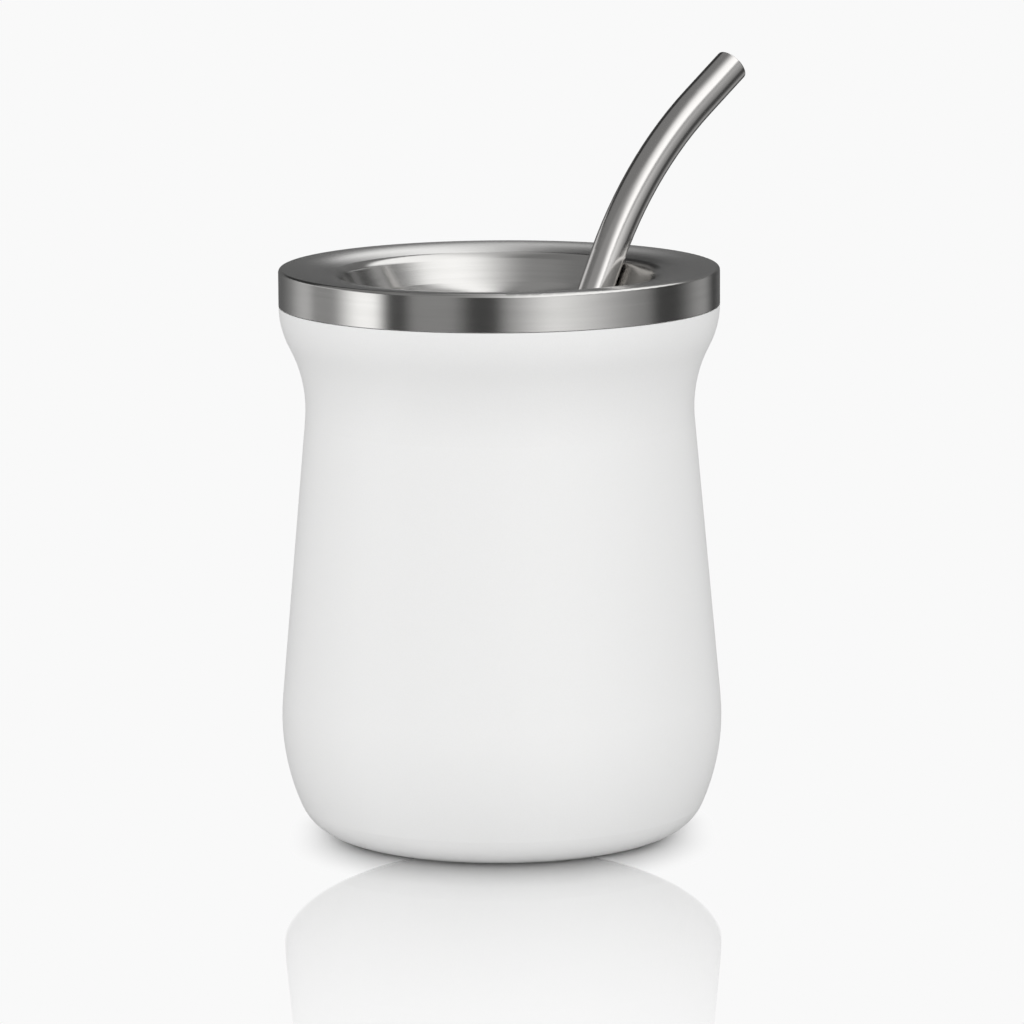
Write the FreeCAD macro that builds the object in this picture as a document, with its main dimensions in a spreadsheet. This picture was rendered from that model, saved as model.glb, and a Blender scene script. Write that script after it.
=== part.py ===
import FreeCAD, Part
import math
import os
import Sketcher
from FreeCAD import Placement, Rotation, Vector

# A double-walled steel mate cup, with the bent straw that stands in it.
# Frame: origin at the middle of the foot, on the surface that the cup stands on, with +Z up the cup's axis.

doc = FreeCAD.newDocument("mate_cup")

# Driving dimensions, in millimetres, degrees and counts
DIMENSIONS = (
    ("cup_height", "109", "foot to the top of the rim"),
    ("rim_radius", "42", "outside of the steel band"),
    ("band_height", "7", "top of the rim to the band's lower edge"),
    ("sheet_wall", "0.6", "steel sheet of the cup's pieces"),
    ("seam_gap", "0.15", "open line between the band and the painted shell"),
    ("fit_gap", "0.05", "clearance between pieces that nest and are welded or soldered"),
    ("rest_gap", "0.05", "clearance where the straw rests on the cup"),
    ("collar_drop", "2", "top of the rim to the shell's upper edge, inside the band"),
    ("shoulder_round", "16.5", "outward curve below the band"),
    ("neck_round", "25.5", "inward curve of the neck"),
    ("neck_depth", "4.9", "how far the neck is drawn in from the rim"),
    ("belly_swell", "0.25", "how far the belly's widest circle stands out beyond the rim"),
    ("belly_height", "22.4", "height of the belly's widest circle"),
    ("belly_round", "42.3", "upright curve of the belly"),
    ("foot_inset", "11.95", "belly's widest circle in to where the rounded corner meets the flat foot"),
    ("foot_width", "3.3", "flat ring that the cup stands on"),
    ("foot_flange", "2.4", "height of the shell's turned-up edge inside the foot"),
    ("base_recess", "0.9", "foot to the underside of the base plate"),
    ("base_corner", "1.1", "bend at the base plate's turned-up edge"),
    ("edge_round", "0.7", "outer top edge of the rim"),
    ("lip_round", "46.3", "broad curve of the lip, level at the rim"),
    ("throat_round", "2.5", "tight curve from the lip into the funnel"),
    ("funnel_width", "5.2", "chamber's wall out to the middle of the throat's curve"),
    ("funnel_slope", "27", "funnel's straight side, turned from upright"),
    ("funnel_round", "8", "curve from the funnel's straight side into the chamber's wall"),
    ("chamber_radius", "27", "inside of the chamber's straight wall"),
    ("chamber_floor", "5", "height of the chamber's inside floor"),
    ("chamber_corner", "9", "inside curve between the floor and the wall"),
    ("straw_radius", "3.4", "outside of the straw's tube"),
    ("straw_wall", "0.6", "wall of the straw's tube"),
    ("straw_azimuth", "39.2", "way that the straw leans, turned from +X towards +Y"),
    ("straw_run", "107.3", "middle of the strainer's round end to the start of the bend"),
    ("straw_bend", "27", "turn of the bend"),
    ("bend_radius", "78", "bend, along the middle of the tube"),
    ("straw_tip", "11.2", "straight mouth end beyond the bend"),
    ("tip_round", "0.25", "softened edges of the mouth end"),
    ("strainer_radius", "6.5", "outside of the strainer bulb"),
    ("strainer_wall", "0.5", "sheet of the strainer bulb"),
    ("strainer_neck", "22", "middle of the round end to the foot of the collar"),
    ("strainer_collar", "4", "collar that the tube is soldered into"),
    ("strainer_crown", "14", "outward curve of the bulb towards its collar"),
    ("strainer_waist", "8", "inward curve of the bulb into its collar"),
    ("slot_width", "0.8", "width of a strainer slot"),
    ("slot_start", "0.6", "middle of the round end to the slots' lower ends"),
    ("slot_length", "10.4", "length of a strainer slot along the bulb"),
    ("slot_count", "12", "slots round the strainer bulb"),
)

sheet = doc.addObject("Spreadsheet::Sheet", "sizes")
for row, (alias, value, meaning) in enumerate(DIMENSIONS, start=1):
    sheet.set(f"A{row}", alias)
    sheet.set(f"B{row}", value)
    sheet.set(f"C{row}", meaning)
    sheet.setAlias(f"B{row}", alias)
doc.recompute()


def size(alias):
    """The value of one driving dimension."""
    return float(sheet.get(alias))


# Sketch helpers: an arc runs anticlockwise from its start to its end, and the origin starts the level axis
VERTICES = ("whole", "start", "end", "centre")
AXES = ("level_axis", "upright_axis")
ORIGIN = ("level_axis", "start")
UPRIGHT = Rotation(Vector(1, 0, 0), 90)


def add_line(sketch, start, end):
    return sketch.addGeometry(Part.LineSegment(Vector(*start), Vector(*end)), False)


def add_arc(sketch, centre, radius, from_angle, to_angle):
    circle = Part.Circle(Vector(*centre), Vector(0, 0, 1), radius)
    arc = Part.ArcOfCircle(circle, math.radians(from_angle), math.radians(to_angle))
    return sketch.addGeometry(arc, False)


def places(where):
    """Numbers for the named vertices and axes in a constraint's list, with the rest left as it is."""
    numbers = []
    for place in where:
        if place in VERTICES:
            numbers.append(VERTICES.index(place))
        elif place in AXES:
            numbers.append(-1 - AXES.index(place))
        else:
            numbers.append(place)
    return numbers


def constrain(sketch, kind, *where):
    return sketch.addConstraint(Sketcher.Constraint(kind, *places(where)))


def bind(sketch, kind, name, formula, *where):
    """A named dimension of a sketch, worked out from the driving dimensions."""
    index = constrain(sketch, kind, *where, measured(sketch, kind, where))
    sketch.renameConstraint(index, name)
    sketch.setExpression("Constraints." + name, formula)


def measured(sketch, kind, where):
    """What a dimension reads on the geometry as first drawn."""
    if kind in ("Radius", "Diameter"):
        radius = sketch.Geometry[where[0]].Radius
        return radius if kind == "Radius" else 2 * radius
    if kind in ("Distance", "Angle"):
        line = sketch.Geometry[where[0]]
        run = line.EndPoint - line.StartPoint
        return run.Length if kind == "Distance" else math.atan2(run.y, run.x)
    from_line, from_place, to_line, to_place = places(where)
    run = sketch.getPoint(to_line, to_place) - sketch.getPoint(from_line, from_place)
    return run.x if kind == "DistanceX" else run.y


def polar(centre, radius, angle):
    """The point of a circle at an angle in degrees."""
    turn = math.radians(angle)
    return (centre[0] + radius * math.cos(turn), centre[1] + radius * math.sin(turn))


def sheet_of_revolution(node, profile, wall):
    """A turned sheet-metal piece: the profile is its show face, and the wall is added behind it."""
    section = doc.addObject("Part::Offset2D", node + "_section")
    section.Source = profile
    section.Mode = "Skin"
    section.Join = "Arc"
    section.Fill = True
    section.setExpression("Value", wall)
    piece = doc.addObject("Part::Revolution", node)
    piece.Source = section
    piece.Axis = Vector(0, 0, 1)
    piece.Angle = 360
    piece.Solid = True
    piece.Label = node
    return piece


def upright_sketch(name):
    sketch = doc.addObject("Sketcher::SketchObject", name)
    sketch.Placement = Placement(Vector(0, 0, 0), UPRIGHT)
    return sketch


# Outer shell: one drawn sheet, from the collar inside the band down to the flange inside the foot
BELLY_RADIUS = "sizes.rim_radius + sizes.belly_swell"
FOOT_RADIUS = BELLY_RADIUS + " - sizes.foot_inset"


def belly_radius():
    """The belly's widest circle."""
    return size("rim_radius") + size("belly_swell")


def foot_radius():
    """Where the shell's rounded corner meets the flat foot."""
    return belly_radius() - size("foot_inset")


def draw_shell():
    profile = upright_sketch("outer_shell_profile")
    rim = size("rim_radius")
    collar = rim - size("sheet_wall") - size("fit_gap")
    collar_top = size("cup_height") - size("collar_drop")
    seam = size("cup_height") - size("band_height") - size("seam_gap")

    shoulder_round = size("shoulder_round")
    neck_round = size("neck_round")
    belly_round = size("belly_round")
    shoulder = (rim - shoulder_round, seam)
    neck_x = rim - size("neck_depth") + neck_round
    neck_drop = math.sqrt((shoulder_round + neck_round) ** 2 - (neck_x - shoulder[0]) ** 2)
    neck = (neck_x, seam - neck_drop)
    shoulder_turn = math.degrees(math.atan2(neck[1] - shoulder[1], neck[0] - shoulder[0]))

    belly = (belly_radius() - belly_round, size("belly_height"))
    across = Vector(neck[0] - belly[0], neck[1] - belly[1], 0)
    flare = math.degrees(math.atan2(across.y, across.x) - math.acos((neck_round + belly_round) / across.Length))

    foot = foot_radius()
    reach = belly_round ** 2 - belly[1] ** 2 - (foot - belly[0]) ** 2
    corner_round = reach / (2 * (belly_round - belly[1]))
    corner = (foot, corner_round)
    corner_turn = math.degrees(math.atan2(corner[1] - belly[1], corner[0] - belly[0]))
    opening = foot - size("foot_width")

    collar_line = add_line(profile, (collar, collar_top), (collar, seam))
    step_line = add_line(profile, (collar, seam), (rim, seam))
    shoulder_arc = add_arc(profile, shoulder, shoulder_round, shoulder_turn, 0)
    neck_arc = add_arc(profile, neck, neck_round, 180 + shoulder_turn, 180 + flare)
    wall_line = add_line(profile, polar(neck, neck_round, 180 + flare), polar(belly, belly_round, flare))
    belly_arc = add_arc(profile, belly, belly_round, corner_turn, flare)
    corner_arc = add_arc(profile, corner, corner_round, -90, corner_turn)
    foot_line = add_line(profile, (foot, 0), (opening, 0))
    flange_line = add_line(profile, (opening, 0), (opening, size("foot_flange")))

    constrain(profile, "Coincident", collar_line, "end", step_line, "start")
    constrain(profile, "Coincident", step_line, "end", shoulder_arc, "end")
    constrain(profile, "Tangent", shoulder_arc, "start", neck_arc, "start")
    constrain(profile, "Tangent", neck_arc, "end", wall_line, "start")
    constrain(profile, "Tangent", wall_line, "end", belly_arc, "end")
    constrain(profile, "Tangent", belly_arc, "start", corner_arc, "end")
    constrain(profile, "Tangent", corner_arc, "start", foot_line, "start")
    constrain(profile, "Coincident", foot_line, "end", flange_line, "start")

    constrain(profile, "Vertical", collar_line)
    constrain(profile, "Horizontal", step_line)
    constrain(profile, "Horizontal", shoulder_arc, "centre", shoulder_arc, "end")
    constrain(profile, "Horizontal", foot_line)
    constrain(profile, "PointOnObject", corner_arc, "start", "level_axis")
    constrain(profile, "Vertical", flange_line)
    bind(profile, "DistanceX", "collar", "sizes.rim_radius - sizes.sheet_wall - sizes.fit_gap",
         *ORIGIN, collar_line, "start")
    bind(profile, "DistanceY", "collar_top", "sizes.cup_height - sizes.collar_drop",
         *ORIGIN, collar_line, "start")
    bind(profile, "DistanceY", "seam", "sizes.cup_height - sizes.band_height - sizes.seam_gap",
         *ORIGIN, step_line, "end")
    bind(profile, "DistanceX", "rim", "sizes.rim_radius", *ORIGIN, step_line, "end")
    bind(profile, "Radius", "shoulder_round", "sizes.shoulder_round", shoulder_arc)
    bind(profile, "Radius", "neck_round", "sizes.neck_round", neck_arc)
    bind(profile, "DistanceX", "neck", "sizes.rim_radius - sizes.neck_depth + sizes.neck_round",
         *ORIGIN, neck_arc, "centre")
    bind(profile, "Radius", "belly_round", "sizes.belly_round", belly_arc)
    bind(profile, "DistanceX", "belly", BELLY_RADIUS + " - sizes.belly_round", *ORIGIN, belly_arc, "centre")
    bind(profile, "DistanceY", "belly_height", "sizes.belly_height", *ORIGIN, belly_arc, "centre")
    bind(profile, "DistanceX", "foot", FOOT_RADIUS, *ORIGIN, corner_arc, "start")
    bind(profile, "DistanceX", "opening", FOOT_RADIUS + " - sizes.foot_width", *ORIGIN, flange_line, "start")
    bind(profile, "DistanceY", "flange", "sizes.foot_flange", *ORIGIN, flange_line, "end")
    return profile


# Inner cup: one drawn sheet, from the chamber's floor up over the lip and down as the steel band
def draw_liner():
    profile = upright_sketch("inner_cup_profile")
    rim = size("rim_radius")
    top = size("cup_height")
    wall = size("chamber_radius")
    floor = size("chamber_floor")
    corner_round = size("chamber_corner")
    edge_round = size("edge_round")
    lip_round = size("lip_round")
    throat_round = size("throat_round")
    funnel_round = size("funnel_round")
    slope = size("funnel_slope")
    throat, lip_turn, funnel = mouth()
    lip = (rim - edge_round, top - lip_round)
    edge = (rim - edge_round, top - edge_round)
    corner = (wall - corner_round, floor + corner_round)

    floor_line = add_line(profile, (0, floor), (corner[0], floor))
    corner_arc = add_arc(profile, corner, corner_round, -90, 0)
    wall_line = add_line(profile, (wall, corner[1]), (wall, funnel[1]))
    funnel_arc = add_arc(profile, funnel, funnel_round, 180 - slope, 180)
    funnel_foot = polar(funnel, funnel_round, 180 - slope)
    funnel_line = add_line(profile, funnel_foot, polar(throat, throat_round, 180 - slope))
    throat_arc = add_arc(profile, throat, throat_round, 90 + lip_turn, 180 - slope)
    lip_arc = add_arc(profile, lip, lip_round, 90, 90 + lip_turn)
    edge_arc = add_arc(profile, edge, edge_round, 0, 90)
    band_line = add_line(profile, (rim, edge[1]), (rim, top - size("band_height")))

    constrain(profile, "Tangent", floor_line, "end", corner_arc, "start")
    constrain(profile, "Tangent", corner_arc, "end", wall_line, "start")
    constrain(profile, "Tangent", wall_line, "end", funnel_arc, "end")
    constrain(profile, "Tangent", funnel_arc, "start", funnel_line, "start")
    constrain(profile, "Tangent", funnel_line, "end", throat_arc, "end")
    constrain(profile, "Tangent", throat_arc, "start", lip_arc, "end")
    constrain(profile, "Tangent", lip_arc, "start", edge_arc, "end")
    constrain(profile, "Tangent", edge_arc, "start", band_line, "start")

    constrain(profile, "PointOnObject", floor_line, "start", "upright_axis")
    constrain(profile, "Horizontal", floor_line)
    constrain(profile, "Vertical", wall_line)
    constrain(profile, "Vertical", lip_arc, "centre", lip_arc, "start")
    constrain(profile, "Vertical", band_line)
    bind(profile, "DistanceY", "floor", "sizes.chamber_floor", *ORIGIN, floor_line, "start")
    bind(profile, "Radius", "corner_round", "sizes.chamber_corner", corner_arc)
    bind(profile, "DistanceX", "chamber", "sizes.chamber_radius", *ORIGIN, wall_line, "start")
    bind(profile, "Radius", "funnel_round", "sizes.funnel_round", funnel_arc)
    bind(profile, "Angle", "slope", "90 deg - sizes.funnel_slope * 1 deg", funnel_line)
    bind(profile, "Radius", "throat_round", "sizes.throat_round", throat_arc)
    bind(profile, "DistanceX", "throat", "sizes.chamber_radius + sizes.funnel_width",
         *ORIGIN, throat_arc, "centre")
    bind(profile, "Radius", "lip_round", "sizes.lip_round", lip_arc)
    bind(profile, "DistanceY", "top", "sizes.cup_height", *ORIGIN, lip_arc, "start")
    bind(profile, "Radius", "edge_round", "sizes.edge_round", edge_arc)
    bind(profile, "DistanceX", "rim", "sizes.rim_radius", *ORIGIN, band_line, "start")
    bind(profile, "DistanceY", "band", "sizes.cup_height - sizes.band_height", *ORIGIN, band_line, "end")
    return profile


def mouth():
    """Centres of the throat's and the funnel's curves, with the lip's slope in degrees between them."""
    throat_round = size("throat_round")
    lip_round = size("lip_round")
    funnel_round = size("funnel_round")
    slope = math.radians(size("funnel_slope"))
    throat_x = size("chamber_radius") + size("funnel_width")
    lip_turn = math.asin((size("rim_radius") - size("edge_round") - throat_x) / (lip_round - throat_round))
    throat_z = size("cup_height") - lip_round + (lip_round - throat_round) * math.cos(lip_turn)
    funnel_x = size("chamber_radius") + funnel_round
    side = (throat_x - funnel_x + (funnel_round - throat_round) * math.cos(slope)) / math.sin(slope)
    funnel_z = throat_z - (funnel_round - throat_round) * math.sin(slope) - side * math.cos(slope)
    return (throat_x, throat_z), math.degrees(lip_turn), (funnel_x, funnel_z)


# Base plate: a shallow pressed dish that closes the shell's foot
def draw_base():
    profile = upright_sketch("base_plate_profile")
    recess = size("base_recess")
    corner_round = size("base_corner")
    edge = foot_radius() - size("foot_width") - size("fit_gap")
    corner = (edge - corner_round, recess + corner_round)

    plate_line = add_line(profile, (0, recess), (corner[0], recess))
    corner_arc = add_arc(profile, corner, corner_round, -90, 0)
    flange_line = add_line(profile, (edge, corner[1]), (edge, size("foot_flange")))

    constrain(profile, "Tangent", plate_line, "end", corner_arc, "start")
    constrain(profile, "Tangent", corner_arc, "end", flange_line, "start")
    constrain(profile, "PointOnObject", plate_line, "start", "upright_axis")
    constrain(profile, "Horizontal", plate_line)
    constrain(profile, "Vertical", flange_line)
    bind(profile, "DistanceY", "recess", "sizes.base_recess", *ORIGIN, plate_line, "start")
    bind(profile, "Radius", "corner_round", "sizes.base_corner", corner_arc)
    bind(profile, "DistanceX", "edge", FOOT_RADIUS + " - sizes.foot_width - sizes.fit_gap",
         *ORIGIN, flange_line, "start")
    bind(profile, "DistanceY", "flange", "sizes.foot_flange", *ORIGIN, flange_line, "end")
    return profile


shell = sheet_of_revolution("outer_shell", draw_shell(), "-sizes.sheet_wall")
liner = sheet_of_revolution("inner_cup", draw_liner(), "-sizes.sheet_wall")
base = sheet_of_revolution("base_plate", draw_base(), "sizes.sheet_wall")


# The straw's pieces are drawn upright, about the middle of the strainer's round end, bending towards +X
def new_body(node):
    body = doc.addObject("PartDesign::Body", node)
    body.Label = node
    return body


def origin_plane(body, role):
    return next(feature for feature in body.Origin.OriginFeatures if feature.Role == role)


def body_sketch(body, name, role):
    sketch = body.newObject("Sketcher::SketchObject", name)
    sketch.AttachmentSupport = (origin_plane(body, role), [""])
    sketch.MapMode = "FlatFace"
    return sketch


# Straw tube: a round tube swept along a straight run, one bend and a short straight mouth end
def make_straw():
    body = new_body("straw_tube")
    section = body_sketch(body, "straw_section", "XY_Plane")
    section.setExpression("AttachmentOffset.Base.z", "sizes.strainer_neck")
    for name, radius, formula in (
        ("outside", size("straw_radius"), "sizes.straw_radius"),
        ("bore", size("straw_radius") - size("straw_wall"), "sizes.straw_radius - sizes.straw_wall"),
    ):
        circle = section.addGeometry(Part.Circle(Vector(0, 0, 0), Vector(0, 0, 1), radius), False)
        constrain(section, "Coincident", circle, "centre", *ORIGIN)
        bind(section, "Radius", name, formula, circle)

    path = body_sketch(body, "straw_path", "XZ_Plane")
    run = size("straw_run")
    bend = (size("bend_radius"), run)
    bend_end = polar(bend, size("bend_radius"), 180 - size("straw_bend"))
    tip = polar(bend_end, size("straw_tip"), 90 - size("straw_bend"))
    run_line = add_line(path, (0, size("strainer_neck")), (0, run))
    bend_arc = add_arc(path, bend, size("bend_radius"), 180 - size("straw_bend"), 180)
    tip_line = add_line(path, bend_end, tip)
    constrain(path, "Tangent", run_line, "end", bend_arc, "end")
    constrain(path, "Tangent", bend_arc, "start", tip_line, "start")
    constrain(path, "PointOnObject", run_line, "start", "upright_axis")
    constrain(path, "Vertical", run_line)
    bind(path, "DistanceY", "seat", "sizes.strainer_neck", *ORIGIN, run_line, "start")
    bind(path, "DistanceY", "run", "sizes.straw_run", *ORIGIN, run_line, "end")
    bind(path, "Radius", "bend", "sizes.bend_radius", bend_arc)
    bind(path, "Distance", "tip", "sizes.straw_tip", tip_line)
    bind(path, "Angle", "slope", "90 deg - sizes.straw_bend * 1 deg", tip_line)
    doc.recompute()

    pipe = body.newObject("PartDesign::AdditivePipe", "straw_sweep")
    pipe.Profile = section
    pipe.Spine = (path, ["Edge1", "Edge2", "Edge3"])
    doc.recompute()

    mouth_end = Vector(tip[0], 0, tip[1])
    soft = body.newObject("PartDesign::Fillet", "mouth_end")
    soft.Base = (pipe, edges_near(pipe.Shape, mouth_end, size("straw_radius")))
    soft.setExpression("Radius", "sizes.tip_round")
    return body


def edges_near(shape, centre, reach):
    """Names of the edges that lie wholly within reach of a point."""
    names = []
    for number, edge in enumerate(shape.Edges, start=1):
        ends_in = all((vertex.Point - centre).Length < reach * 1.01 for vertex in edge.Vertexes)
        if ends_in and (edge.CenterOfMass - centre).Length < reach * 1.01:
            names.append(f"Edge{number}")
    return names


# Strainer bulb: a drawn thimble with a round end, necked into a collar, with slots cut along its side
def draw_strainer():
    profile = upright_sketch("strainer_bulb_profile")
    bulb = size("strainer_radius")
    collar = size("straw_radius") + size("fit_gap") + size("strainer_wall")
    crown_round = size("strainer_crown")
    waist_round = size("strainer_waist")
    neck = size("strainer_neck")
    turn = math.degrees(math.acos(1 - (bulb - collar) / (crown_round + waist_round)))
    crown = (bulb - crown_round, neck - (crown_round + waist_round) * math.sin(math.radians(turn)))
    waist = (collar + waist_round, neck)

    end_arc = add_arc(profile, (0, 0), bulb, -90, 0)
    side_line = add_line(profile, (bulb, 0), (bulb, crown[1]))
    crown_arc = add_arc(profile, crown, crown_round, 0, turn)
    waist_arc = add_arc(profile, waist, waist_round, 180, 180 + turn)
    collar_line = add_line(profile, (collar, neck), (collar, neck + size("strainer_collar")))

    constrain(profile, "Tangent", end_arc, "end", side_line, "start")
    constrain(profile, "Tangent", side_line, "end", crown_arc, "start")
    constrain(profile, "Tangent", crown_arc, "end", waist_arc, "end")
    constrain(profile, "Tangent", waist_arc, "start", collar_line, "start")
    constrain(profile, "Coincident", end_arc, "centre", *ORIGIN)
    constrain(profile, "PointOnObject", end_arc, "start", "upright_axis")
    constrain(profile, "Vertical", side_line)
    constrain(profile, "Vertical", collar_line)
    bind(profile, "Radius", "bulb", "sizes.strainer_radius", end_arc)
    bind(profile, "Radius", "crown", "sizes.strainer_crown", crown_arc)
    bind(profile, "Radius", "waist", "sizes.strainer_waist", waist_arc)
    bind(profile, "DistanceX", "collar", "sizes.straw_radius + sizes.fit_gap + sizes.strainer_wall",
         *ORIGIN, collar_line, "start")
    bind(profile, "DistanceY", "neck", "sizes.strainer_neck", *ORIGIN, collar_line, "start")
    bind(profile, "DistanceY", "top", "sizes.strainer_neck + sizes.strainer_collar",
         *ORIGIN, collar_line, "end")
    return profile


def make_strainer():
    body = new_body("strainer_bulb")
    body.BaseFeature = sheet_of_revolution("strainer_blank", draw_strainer(), "sizes.strainer_wall")
    doc.recompute()

    outline = body_sketch(body, "slot_outline", "XZ_Plane")
    half = size("slot_width") / 2
    low = size("slot_start")
    high = low + size("slot_length")
    corners = ((-half, low), (half, low), (half, high), (-half, high))
    sides = [add_line(outline, corners[index - 1], corners[index]) for index in range(4)]
    for side, following in zip(sides, sides[1:] + sides[:1]):
        constrain(outline, "Coincident", side, "end", following, "start")
    left_side, lower_end, right_side, upper_end = sides
    constrain(outline, "Vertical", left_side)
    constrain(outline, "Vertical", right_side)
    constrain(outline, "Horizontal", upper_end)
    constrain(outline, "Symmetric", lower_end, "start", lower_end, "end", "upright_axis")
    bind(outline, "Distance", "slot_width", "sizes.slot_width", lower_end)
    bind(outline, "DistanceY", "slot_start", "sizes.slot_start", *ORIGIN, lower_end, "start")
    bind(outline, "DistanceY", "slot_length", "sizes.slot_length", right_side, "start", right_side, "end")

    slot = body.newObject("PartDesign::Pocket", "slot")
    slot.Profile = outline
    slot.Type = "ThroughAll"
    doc.recompute()
    ring = body.newObject("PartDesign::PolarPattern", "slot_ring")
    ring.Originals = [slot]
    ring.Axis = (outline, ["V_Axis"])
    ring.Angle = 360
    ring.setExpression("Occurrences", "sizes.slot_count")
    body.Tip = ring
    doc.recompute()
    return body


def lean_on(curve, curve_round, foot_reach, foot_height):
    """The tube's lean from upright where it just clears a curve of the mouth by the rest gap."""
    across = curve[0] + foot_reach
    rise = curve[1] - foot_height
    stand_off = curve_round + size("straw_radius") + size("rest_gap")
    return math.atan2(across, rise) - math.asin(stand_off / math.hypot(across, rise))


def straw_placement():
    """The bulb rests in the chamber's corner and the tube leans on the mouth, in one upright plane."""
    azimuth = size("straw_azimuth")
    slack = size("chamber_corner") - size("strainer_radius") - size("rest_gap")
    inset = slack * math.sin(math.radians(45))
    foot_reach = size("chamber_radius") - size("chamber_corner") + inset
    foot_height = size("chamber_floor") + size("chamber_corner") - inset
    throat, lip_turn, funnel = mouth()
    on_throat = lean_on(throat, size("throat_round"), foot_reach, foot_height)
    on_funnel = lean_on(funnel, size("funnel_round"), foot_reach, foot_height)
    lean = min(on_throat, on_funnel)
    foot = polar((0, 0), foot_reach, azimuth + 180)
    turn = Rotation(Vector(0, 0, 1), azimuth) * Rotation(Vector(0, 1, 0), math.degrees(lean))
    return Placement(Vector(foot[0], foot[1], foot_height), turn)


straw = make_straw()
strainer = make_strainer()
for piece in (straw, strainer):
    piece.Placement = straw_placement()

doc.recompute()
for item in doc.Objects:
    if "Invalid" in item.State or "Error" in item.State:
        raise RuntimeError(f"{item.Label} failed: {item.State}")

os.makedirs("parts", exist_ok=True)
for piece in (shell, liner, base, straw, strainer):
    shape = piece.Shape
    if shape.isNull() or not shape.isValid() or len(shape.Solids) != 1:
        raise RuntimeError(f"{piece.Label} is not one valid solid")
    shape.exportStep(f"parts/{piece.Label}.step")
    print(f"{piece.Label}: {shape.Volume:.1f} mm3")
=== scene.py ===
import math

import bpy
from mathutils import Matrix

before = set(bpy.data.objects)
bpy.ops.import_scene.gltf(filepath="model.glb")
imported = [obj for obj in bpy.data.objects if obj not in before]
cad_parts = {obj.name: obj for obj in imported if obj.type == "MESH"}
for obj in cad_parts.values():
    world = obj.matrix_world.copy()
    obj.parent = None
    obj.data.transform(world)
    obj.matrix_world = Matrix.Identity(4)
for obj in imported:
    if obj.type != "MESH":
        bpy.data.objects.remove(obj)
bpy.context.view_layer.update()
MM = 0.001


# Outer shell
# The painted outside of the cup: stainless sheet, deep drawn to its waist and flared shoulder.
# It is powder coated with matt white polyester, which cures to a fine orange peel and a soft, wide sheen.
def linear(colour):
    """The linear colour of an sRGB hex value such as F0F0F0."""
    channels = [int(colour[at:at + 2], 16) / 255 for at in (0, 2, 4)]
    return tuple(((c + 0.055) / 1.055) ** 2.4 if c > 0.04045 else c / 12.92 for c in channels) + (1.0,)


def add_node(tree, kind, inputs=None, **settings):
    """Adds a node with its settings, and sets or links its inputs."""
    made = tree.nodes.new("ShaderNode" + kind)
    for name, value in settings.items():
        setattr(made, name, value)
    for name, value in (inputs or {}).items():
        if isinstance(value, bpy.types.NodeSocket):
            tree.links.new(value, made.inputs[name])
        else:
            made.inputs[name].default_value = value
    return made


def new_material(name):
    """An empty node material and its tree."""
    material = bpy.data.materials.new(name)
    material.use_nodes = True
    material.node_tree.nodes.clear()
    return material, material.node_tree


def finish_node(node_name, material):
    """Gives a node of the frame its finish."""
    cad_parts[node_name].material_slots[0].material = material


COAT_WHITE = linear("F1F1F1")
COAT_SHADE = linear("EDEDEC")
COAT_IOR = 1.5
COAT_ROUGHNESS = 0.46
PEEL_WIDTH = 0.9 * MM
# Real grains of powder are about 0.05 mm wide, too fine to show, so they are drawn coarser
GRAIN_WIDTH = 0.25 * MM
PEEL_HEIGHT = 0.012 * MM
GRAIN_HEIGHT = 0.004 * MM

powder_coat, tree = new_material("matt_white_powder_coat")
place = add_node(tree, "TexCoord").outputs["Object"]
peel = add_node(tree, "TexNoise", {"Vector": place, "Scale": 1 / PEEL_WIDTH, "Detail": 2.0})
grain = add_node(tree, "TexNoise", {"Vector": place, "Scale": 1 / GRAIN_WIDTH, "Detail": 1.0})
peel_bump = add_node(tree, "Bump", {"Height": peel.outputs["Fac"], "Distance": PEEL_HEIGHT})
grain_bump = add_node(tree, "Bump", {
    "Height": grain.outputs["Fac"],
    "Distance": GRAIN_HEIGHT,
    "Normal": peel_bump.outputs["Normal"],
})
tone = add_node(tree, "ValToRGB", {"Fac": grain.outputs["Fac"]})
tone.color_ramp.elements[0].color = COAT_SHADE
tone.color_ramp.elements[1].color = COAT_WHITE
coat = add_node(tree, "BsdfPrincipled", {
    "Base Color": tone.outputs["Color"],
    "Roughness": COAT_ROUGHNESS,
    "IOR": COAT_IOR,
    "Normal": grain_bump.outputs["Normal"],
})
add_node(tree, "OutputMaterial", {"Surface": coat.outputs["BSDF"]})
finish_node("outer_shell", powder_coat)

# Base plate
# A shallow dish pressed from mill-finished stainless sheet, which closes the foot of the shell.
# Cold rolling leaves it a dull grey satin with a fine, even grain, and it is tack welded in place.
MILL_STEEL = linear("C9C6C2")
MILL_STEEL_DARK = linear("B8B5B1")
MILL_ROUGHNESS = 0.34
# Rolling draws the grain out along the sheet; it is drawn coarser than its real 0.1 mm, so that it shows
ROLLED_GRAIN = 0.4 * MM
ROLLED_STRETCH = 0.12
ROLLED_GRAIN_HEIGHT = 0.004 * MM

mill_steel, tree = new_material("mill_finish_stainless_sheet")
place = add_node(tree, "TexCoord").outputs["Object"]
along_the_roll = add_node(tree, "Mapping", {
    "Vector": place,
    "Scale": (ROLLED_STRETCH, 1.0, 1.0),
}).outputs["Vector"]
grain = add_node(tree, "TexNoise", {"Vector": along_the_roll, "Scale": 1 / ROLLED_GRAIN, "Detail": 3.0})
tone = add_node(tree, "ValToRGB", {"Fac": grain.outputs["Fac"]})
tone.color_ramp.elements[0].color = MILL_STEEL_DARK
tone.color_ramp.elements[1].color = MILL_STEEL
relief = add_node(tree, "Bump", {"Height": grain.outputs["Fac"], "Distance": ROLLED_GRAIN_HEIGHT})
sheet = add_node(tree, "BsdfPrincipled", {
    "Base Color": tone.outputs["Color"],
    "Metallic": 1.0,
    "Roughness": MILL_ROUGHNESS,
    "Normal": relief.outputs["Normal"],
})
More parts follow.
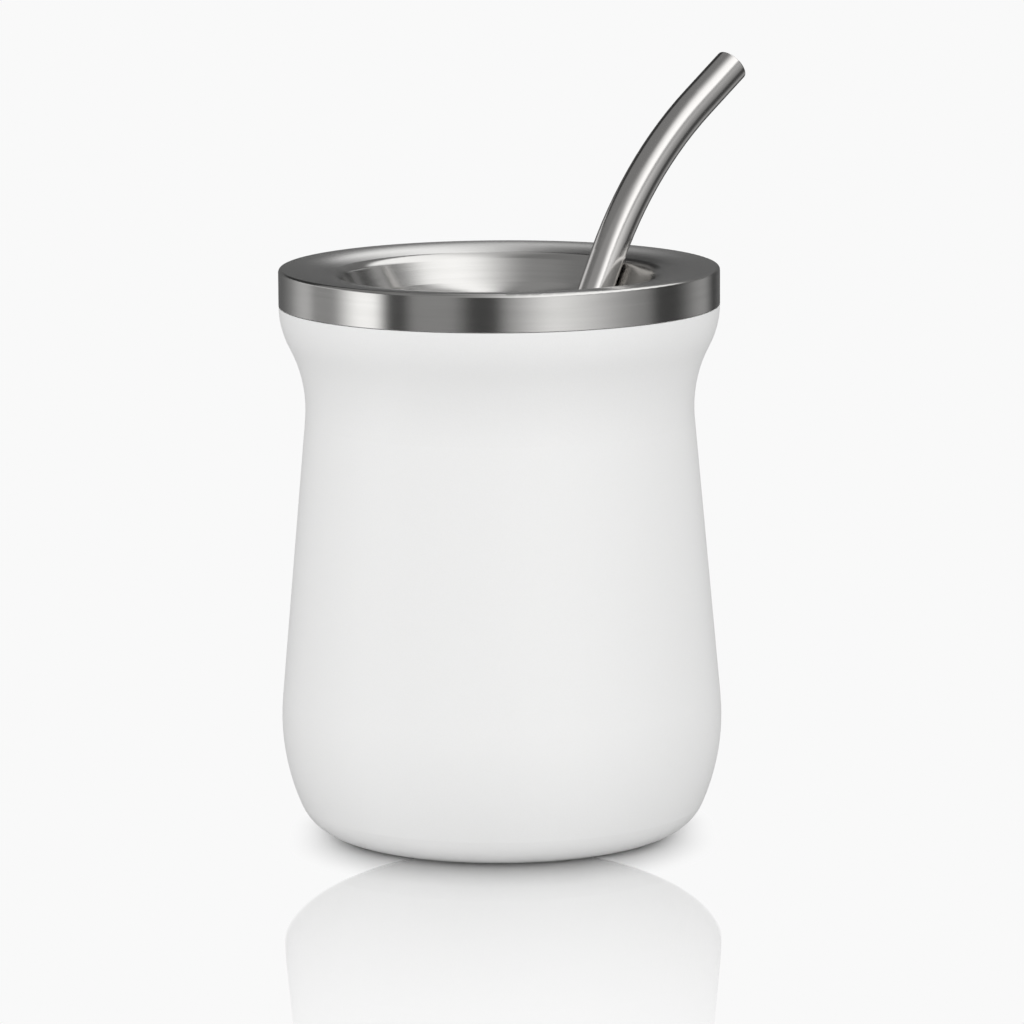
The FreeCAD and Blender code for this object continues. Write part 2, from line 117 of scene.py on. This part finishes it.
add_node(tree, "OutputMaterial", {"Surface": sheet.outputs["BSDF"]})
finish_node("base_plate", mill_steel)

# Inner cup
# One drawn sheet of 18/8 stainless makes the chamber, its funnel, the broad lip and the band outside it.
# It is spun against an abrasive belt, which leaves fine lines round the axis.
# They draw each reflection out across them.
BRUSHED_STEEL = linear("D6D5D3")
BRUSHED_STEEL_DARK = linear("C9C8C6")
BRUSHED_ROUGHNESS = 0.17
BRUSHED_ANISOTROPY = 0.5
QUARTER_TURN = 0.25
# Radius and height of the centres of the rim's and the throat's rounding, and of where the throat's starts
EDGE_CURVE = (41.3 * MM, 108.3 * MM)
THROAT_CURVE = (32.2 * MM, 105.544 * MM)
THROAT_STARTS = (31.68 * MM, 106.68 * MM)
# The lines of a 180 grit belt are about 0.08 mm wide, too fine to show, so they are drawn coarser
LINE_WIDTH = 0.22 * MM
LINE_LENGTH = 9.0 * MM
LINE_HEIGHT = 0.004 * MM
BELT_MARK_WIDTH = 1.1 * MM
BELT_MARK_LENGTH = 30.0 * MM


def turned_place(tree):
    """A point's three axes, its level vector from the cup's axis and its radius."""
    place = add_node(tree, "TexCoord").outputs["Object"]
    axes = add_node(tree, "SeparateXYZ", {"Vector": place}).outputs
    level = add_node(tree, "CombineXYZ", {"X": axes["X"], "Y": axes["Y"]}).outputs["Vector"]
    radius = add_node(tree, "VectorMath", {0: level}, operation="LENGTH").outputs["Value"]
    return axes, level, radius


def true_curve(tree, mesh_normal, curve, inside, height_start, radius_limit):
    """The exact normal of a curve turned round the axis, so that no triangle shows in its highlight."""
    axes, level, radius = turned_place(tree)
    inward = add_node(tree, "Math", {0: -curve[0], 1: radius}, operation="DIVIDE").outputs["Value"]
    share = add_node(tree, "Math", {0: inward, 1: 1.0}, operation="ADD").outputs["Value"]
    out = add_node(tree, "VectorMath", {0: level, "Scale": share}, operation="SCALE").outputs["Vector"]
    rise = add_node(tree, "Math", {0: axes["Z"], 1: curve[1]}, operation="SUBTRACT").outputs["Value"]
    up = add_node(tree, "CombineXYZ", {"Z": rise}).outputs["Vector"]
    away = add_node(tree, "VectorMath", {0: out, 1: up}, operation="ADD").outputs["Vector"]
    exact = add_node(tree, "VectorMath", {0: away}, operation="NORMALIZE").outputs["Vector"]
    side = "LESS_THAN" if inside else "GREATER_THAN"
    beside = add_node(tree, "Math", {0: radius, 1: radius_limit}, operation=side).outputs["Value"]
    above = add_node(tree, "Math", {
        0: axes["Z"],
        1: height_start,
    }, operation="GREATER_THAN").outputs["Value"]
    along = add_node(tree, "Math", {0: beside, 1: above}, operation="MULTIPLY").outputs["Value"]
    mixed = add_node(tree, "MixRGB", {"Fac": along, "Color1": mesh_normal, "Color2": exact})
    return mixed.outputs["Color"]


def lines_round_the_axis(tree, width, length):
    """Streaks of noise that run round the cup's axis: width across the line, length along it."""
    axes, level, radius = turned_place(tree)
    run = add_node(tree, "Math", {0: radius, 1: axes["Z"]}, operation="ADD").outputs["Value"]
    across = add_node(tree, "Math", {0: run, 1: length / width}, operation="MULTIPLY").outputs["Value"]
    strip = add_node(tree, "CombineXYZ", {"X": axes["X"], "Y": axes["Y"], "Z": across}).outputs["Vector"]
    return add_node(tree, "TexNoise", {"Vector": strip, "Scale": 1 / length, "Detail": 2.0}).outputs["Fac"]


brushed_steel, tree = new_material("brushed_stainless_steel")
fine_lines = lines_round_the_axis(tree, LINE_WIDTH, LINE_LENGTH)
belt_marks = lines_round_the_axis(tree, BELT_MARK_WIDTH, BELT_MARK_LENGTH)
tone = add_node(tree, "ValToRGB", {"Fac": belt_marks})
tone.color_ramp.elements[0].color = BRUSHED_STEEL_DARK
tone.color_ramp.elements[1].color = BRUSHED_STEEL
mesh_normal = add_node(tree, "TexCoord").outputs["Normal"]
with_edge = true_curve(tree, mesh_normal, EDGE_CURVE, False, EDGE_CURVE[1], EDGE_CURVE[0])
with_throat = true_curve(tree, with_edge, THROAT_CURVE, True, THROAT_STARTS[1], THROAT_STARTS[0])
turned = add_node(tree, "VectorTransform", {"Vector": with_throat},
                  vector_type="NORMAL", convert_from="OBJECT", convert_to="WORLD").outputs["Vector"]
relief = add_node(tree, "Bump", {"Height": fine_lines, "Distance": LINE_HEIGHT, "Normal": turned})
round_the_axis = add_node(tree, "Tangent", direction_type="RADIAL", axis="Z").outputs["Tangent"]
brushed = add_node(tree, "BsdfPrincipled", {
    "Base Color": tone.outputs["Color"],
    "Metallic": 1.0,
    "Roughness": BRUSHED_ROUGHNESS,
    "Anisotropic": BRUSHED_ANISOTROPY,
    "Anisotropic Rotation": QUARTER_TURN,
    "Tangent": round_the_axis,
    "Normal": relief.outputs["Normal"],
})
add_node(tree, "OutputMaterial", {"Surface": brushed.outputs["BSDF"]})
finish_node("inner_cup", brushed_steel)

# Straw tube
# A seamless tube of 18/8 stainless, drawn, bent and polished on a soft wheel, with its ends tumbled smooth.
# The polish keeps faint lines from the drawing along the tube, so that its highlight has soft edges.
POLISHED_STEEL = linear("DDDBD9")
POLISHED_STEEL_DARK = linear("D5D3D1")
POLISHED_ROUGHNESS = 0.16
# Real drawing lines are about 0.02 mm wide, too fine to show, so they are drawn coarser
DRAWN_LINE_WIDTH = 0.25 * MM
DRAWN_LINE_STRETCH = 0.03
DRAWN_LINE_HEIGHT = 0.0015 * MM


def polished_tube(name, roughness):
    """Polished steel with faint drawing lines along the straw."""
    material, tree = new_material(name)
    place = add_node(tree, "TexCoord").outputs["Object"]
    drawn = add_node(tree, "Mapping", {
        "Vector": place,
        "Scale": (1.0, 1.0, DRAWN_LINE_STRETCH),
    }).outputs["Vector"]
    lines = add_node(tree, "TexNoise", {"Vector": drawn, "Scale": 1 / DRAWN_LINE_WIDTH, "Detail": 2.0})
    tone = add_node(tree, "ValToRGB", {"Fac": lines.outputs["Fac"]})
    tone.color_ramp.elements[0].color = POLISHED_STEEL_DARK
    tone.color_ramp.elements[1].color = POLISHED_STEEL
    relief = add_node(tree, "Bump", {"Height": lines.outputs["Fac"], "Distance": DRAWN_LINE_HEIGHT})
    polished = add_node(tree, "BsdfPrincipled", {
        "Base Color": tone.outputs["Color"],
        "Metallic": 1.0,
        "Roughness": roughness,
        "Normal": relief.outputs["Normal"],
    })
    add_node(tree, "OutputMaterial", {"Surface": polished.outputs["BSDF"]})
    return material


finish_node("straw_tube", polished_tube("polished_stainless_tube", POLISHED_ROUGHNESS))

# Strainer bulb
# A spoon-shaped bulb swaged from thin stainless tube, sawn with slots and silver soldered over the straw.
# It is tumbled after slotting, which leaves it a little duller than the straw.
TUMBLED_ROUGHNESS = 0.22

finish_node("strainer_bulb", polished_tube("tumbled_stainless_bulb", TUMBLED_ROUGHNESS))

# Floor
# A sheet of white acrylic under the cup. To the camera it is the same even white as the room behind it.
# It takes the cup's real soft shadow, deepened by painted shade: in a pool round the foot, moved forward
# in front of the cup, it is lit with a darker white.
# A patch in front of the cup is polished and holds a faint mirror image.
FLOOR_SIDE = 6.0
ROOM_WHITE = linear("F9F9F9")
FLOOR_BOUNCE = linear("E4E4E4")
# A darker white for the floor round the foot, which paints shade there
FLOOR_PAINTED_SHADE = linear("D5D5D5")
# Distances from the axis at which the painted shade, with the cup's real shadow in it, is full and gone;
# the pool is moved forward in front of the cup
PAINTED_SHADE_REACH = (27 * MM, 41 * MM)
PAINTED_SHADE_FORWARD = 12 * MM
# Distances from the axis at which the mirror image is strongest and gone
MIRROR_REACH = (40 * MM, 185 * MM)
MIRROR_STRENGTH = 0.78
# The polished patch runs forward from its centre, and towards the cup it ends in half an oval
PATCH_CENTRE = -91.6 * MM
PATCH_HALF_LENGTH = 72.0 * MM
PATCH_HALF_WIDTH = 38.8 * MM
PATCH_EDGE = (1.01, 0.99)


def soft_edge(tree, value, none, full):
    """Rises smoothly from 0 where a value is none to 1 where it is full."""
    return add_node(tree, "MapRange", {
        "Value": value,
        "From Min": none,
        "From Max": full,
    }, interpolation_type="SMOOTHSTEP").outputs["Result"]


half = FLOOR_SIDE / 2
corners = [(-half, -half, 0), (half, -half, 0), (half, half, 0), (-half, half, 0)]
floor_mesh = bpy.data.meshes.new("floor")
floor_mesh.from_pydata(corners, [], [(0, 1, 2, 3)])
floor = bpy.data.objects.new("floor", floor_mesh)
bpy.context.scene.collection.objects.link(floor)
floor.visible_glossy = False

white_acrylic, tree = new_material("polished_white_acrylic")
place = add_node(tree, "TexCoord").outputs["Object"]
spots = add_node(tree, "SeparateXYZ", {"Vector": place}).outputs

# The pool of painted shade round the foot, moved forward in front of the cup
forward = add_node(tree, "Math", {0: spots["Y"], 1: PAINTED_SHADE_FORWARD}, operation="ADD").outputs["Value"]
past_front = add_node(tree, "Math", {0: forward, 1: 0.0}, operation="MINIMUM").outputs["Value"]
painted_shade_depth = add_node(tree, "Math", {0: spots["Y"], 1: past_front}, operation="MAXIMUM").outputs["Value"]
painted_shade_place = add_node(tree, "CombineXYZ", {"X": spots["X"], "Y": painted_shade_depth}).outputs["Vector"]
from_painted_shade = add_node(tree, "VectorMath", {0: painted_shade_place}, operation="LENGTH").outputs["Value"]
painted_shade_pool = soft_edge(tree, from_painted_shade, PAINTED_SHADE_REACH[1], PAINTED_SHADE_REACH[0])

ahead = add_node(tree, "Math", {0: spots["Y"], 1: PATCH_CENTRE}, operation="SUBTRACT").outputs["Value"]
lengthwise = add_node(tree, "Math", {0: ahead, 1: PATCH_HALF_LENGTH}, operation="DIVIDE").outputs["Value"]
towards_cup = add_node(tree, "Math", {0: lengthwise, 1: 0.0}, operation="MAXIMUM").outputs["Value"]
sideways = add_node(tree, "Math", {0: spots["X"], 1: PATCH_HALF_WIDTH}, operation="DIVIDE").outputs["Value"]
oval = add_node(tree, "CombineXYZ", {"X": sideways, "Y": towards_cup}).outputs["Vector"]
from_oval = add_node(tree, "VectorMath", {0: oval}, operation="LENGTH").outputs["Value"]
in_patch = soft_edge(tree, from_oval, *PATCH_EDGE)
from_axis = add_node(tree, "VectorMath", {0: place}, operation="LENGTH").outputs["Value"]
fading = add_node(tree, "MapRange", {
    "Value": from_axis,
    "From Min": MIRROR_REACH[0],
    "From Max": MIRROR_REACH[1],
    "To Min": MIRROR_STRENGTH,
    "To Max": 0.0,
}).outputs["Result"]
mirror = add_node(tree, "Math", {0: fading, 1: in_patch}, operation="MULTIPLY").outputs["Value"]

rays = add_node(tree, "LightPath").outputs
bare = add_node(tree, "Emission", {"Color": ROOM_WHITE, "Strength": 1.0}).outputs["Emission"]
# Lit with a darker white, the floor paints shade round the foot, and the cup's real shadow falls in it too
lit_with_painted_shade = add_node(tree, "BsdfDiffuse", {"Color": FLOOR_PAINTED_SHADE}).outputs["BSDF"]
bounce = add_node(tree, "BsdfDiffuse", {"Color": FLOOR_BOUNCE}).outputs["BSDF"]
polish = add_node(tree, "BsdfAnisotropic", {"Color": (1, 1, 1, 1), "Roughness": 0.0}).outputs["BSDF"]
# Bare white outside the pool; inside it, painted shade with the cup's real shadow
lit = add_node(tree, "MixShader", {"Fac": painted_shade_pool, 1: bare, 2: lit_with_painted_shade}).outputs["Shader"]
seen = add_node(tree, "MixShader", {"Fac": mirror, 1: lit, 2: polish}).outputs["Shader"]
above = add_node(tree, "MixShader", {"Fac": rays["Is Camera Ray"], 1: bounce, 2: seen}).outputs["Shader"]
# From below the sheet can be seen through, so that it doesn't hide the foot
see_through = add_node(tree, "BsdfTransparent").outputs["BSDF"]
from_under = add_node(tree, "NewGeometry").outputs["Backfacing"]
surface = add_node(tree, "MixShader", {"Fac": from_under, 1: above, 2: see_through}).outputs["Shader"]
add_node(tree, "OutputMaterial", {"Surface": surface})
floor_mesh.materials.append(white_acrylic)

# Studio light
# The cup stands in a white tent that lights it evenly, a little more from the front than from behind.
# Steel shows what hangs round the tent: soft boxes along the walls, and long soft strips overhead.
TENT_FRONT = 1.23
TENT_BACK = 0.69
TENT_TURN = 0.45
WALL_LEVEL = 0.07
CEILING_LEVEL = 0.04
# Degrees above level over which the walls give way to the ceiling
CEILING_STARTS = (12, 17)
# Degrees round the tent from the camera, positive to its right: dark, full, full, dark; then the level
WALL_BOXES = {
    "key": (-4, 32, 22, 86, 0.8),
    "key_wash": (-4, 6, 80, 93, 0.22),
    "front_fill": (-53, -43, -26, -12, 0.26),
    "side_strip": (-98, -76, -69, -58, 1.08),
    "side_wash": (-160, -130, -69, -58, 0.27),
    "rear_left": (-140, -122, -119, -110, 0.24),
    "rear_right": (102, 130, 132, 150, 0.3),
    "back_wall_left": (-181, -180, -160, -140, 0.06),
    "back_wall_right": (150, 165, 180, 181, 0.06),
}
# Degrees over from straight up, positive to the camera's right, in three parts from front to back
CEILING_FRONT = {
    "broad": (-76, -50, 54, 60, 0.3),
    "main": (-30, 38, 47, 60, 1.15),
    "low_key": (52, 62, 91, 92, 0.45),
}
CEILING_MIDDLE = {
    "broad": (-76, -50, 54, 60, 0.2),
    "main": (-14, 22, 47, 60, 1.15),
    "edge": (59.5, 61.5, 63, 65, 0.65),
    "left_end": (-78, -74, -67, -63, 0.8),
}
CEILING_BACK = {
    "broad": (-9, -2, 54, 60, 0.14),
    "gap": (-4, 4, 5, 9, 1.15),
    "edge": (59.5, 61.5, 63, 65, 0.65),
    "left_end": (-78, -74, -67, -63, 0.8),
}
# Degrees over from straight up, positive towards the back
MIDDLE_STARTS = (-42, -24)
BACK_STARTS = (40, 50)

world = bpy.data.worlds.new("white_tent_with_soft_boxes")
bpy.context.scene.world = world
world.use_nodes = True
world.cycles.sampling_method = "NONE"
tree = world.node_tree
tree.nodes.clear()


def row_of_lights(tree, angle, base, lights):
    """The level at an angle along a row of soft lights, over an even base."""
    total = base
    for *edges, level in lights.values():
        start, full_start, full_end, end = (math.radians(edge) for edge in edges)
        rise = soft_edge(tree, angle, start, full_start)
        fall = soft_edge(tree, angle, end, full_end)
        width = add_node(tree, "Math", {0: rise, 1: fall}, operation="MULTIPLY").outputs["Value"]
        light = add_node(tree, "Math", {0: width, 1: level}, operation="MULTIPLY").outputs["Value"]
        total = add_node(tree, "Math", {0: total, 1: light}, operation="ADD").outputs["Value"]
    return total


direction = add_node(tree, "TexCoord").outputs["Generated"]
axes = add_node(tree, "SeparateXYZ", {"Vector": direction}).outputs
front = add_node(tree, "Math", {0: axes["Y"], 1: -1.0}, operation="MULTIPLY").outputs["Value"]
round_the_tent = add_node(tree, "Math", {0: axes["X"], 1: front}, operation="ARCTAN2").outputs["Value"]
over_from_up = add_node(tree, "Math", {0: axes["X"], 1: axes["Z"]}, operation="ARCTAN2").outputs["Value"]
over_to_back = add_node(tree, "Math", {0: axes["Y"], 1: axes["Z"]}, operation="ARCTAN2").outputs["Value"]
height = add_node(tree, "Math", {0: axes["Z"]}, operation="ARCSINE").outputs["Value"]
walls = row_of_lights(tree, round_the_tent, WALL_LEVEL, WALL_BOXES)
ceiling = row_of_lights(tree, over_from_up, CEILING_LEVEL, CEILING_FRONT)
for starts, lights in ((MIDDLE_STARTS, CEILING_MIDDLE), (BACK_STARTS, CEILING_BACK)):
    ceiling = add_node(tree, "Mix", {
        "Factor": soft_edge(tree, over_to_back, *(math.radians(start) for start in starts)),
        "A": ceiling,
        "B": row_of_lights(tree, over_from_up, CEILING_LEVEL, lights),
    }).outputs["Result"]
steel_sees = add_node(tree, "Mix", {
    "Factor": soft_edge(tree, height, *(math.radians(start) for start in CEILING_STARTS)),
    "A": walls,
    "B": ceiling,
}).outputs["Result"]
tent_level = add_node(tree, "MapRange", {
    "Value": front,
    "From Min": -TENT_TURN,
    "From Max": TENT_TURN,
    "To Min": TENT_BACK,
    "To Max": TENT_FRONT,
}, interpolation_type="SMOOTHSTEP").outputs["Result"]

rays = add_node(tree, "LightPath").outputs
room = add_node(tree, "Background", {"Color": ROOM_WHITE}).outputs["Background"]
lights = add_node(tree, "Background", {"Color": (1, 1, 1, 1), "Strength": steel_sees}).outputs["Background"]
tent = add_node(tree, "Background", {"Color": (1, 1, 1, 1), "Strength": tent_level}).outputs["Background"]
lit = add_node(tree, "MixShader", {"Fac": rays["Is Glossy Ray"], 1: tent, 2: lights}).outputs["Shader"]
# The floor's mirror image has the room's plain white behind the cup
unblurred = add_node(tree, "Math", {
    0: rays["Is Camera Ray"],
    1: rays["Is Singular Ray"],
}, operation="MAXIMUM").outputs["Value"]
seen = add_node(tree, "MixShader", {"Fac": unblurred, 1: lit, 2: room}).outputs["Shader"]
add_node(tree, "OutputWorld", {"Surface": seen})
bpy.context.scene.view_settings.view_transform = "Standard"

# Camera
# A long lens a little above the rim, more than a metre away, so that the cup's sides stay nearly parallel.
# Sizes in pixels are those of a picture 1024 pixels wide.
PICTURE_WIDTH = 1024
FOCAL_LENGTH = 5744
CAMERA_PLACE = (0.0, -1.0847, 0.2445)
CAMERA_TILT = 9.57
CAMERA_ROLL = -0.37
AXIS_LEFT_OF_CENTRE = 11.4

camera_data = bpy.data.cameras.new("camera")
camera_data.sensor_width = 36.0
camera_data.lens = FOCAL_LENGTH / PICTURE_WIDTH * camera_data.sensor_width
camera_data.shift_x = AXIS_LEFT_OF_CENTRE / PICTURE_WIDTH
camera = bpy.data.objects.new("camera", camera_data)
bpy.context.scene.collection.objects.link(camera)
tilt = Matrix.Rotation(math.radians(90 - CAMERA_TILT), 4, "X")
roll = Matrix.Rotation(math.radians(CAMERA_ROLL), 4, "Z")
camera.matrix_world = Matrix.Translation(CAMERA_PLACE) @ tilt @ roll
bpy.context.scene.camera = camera
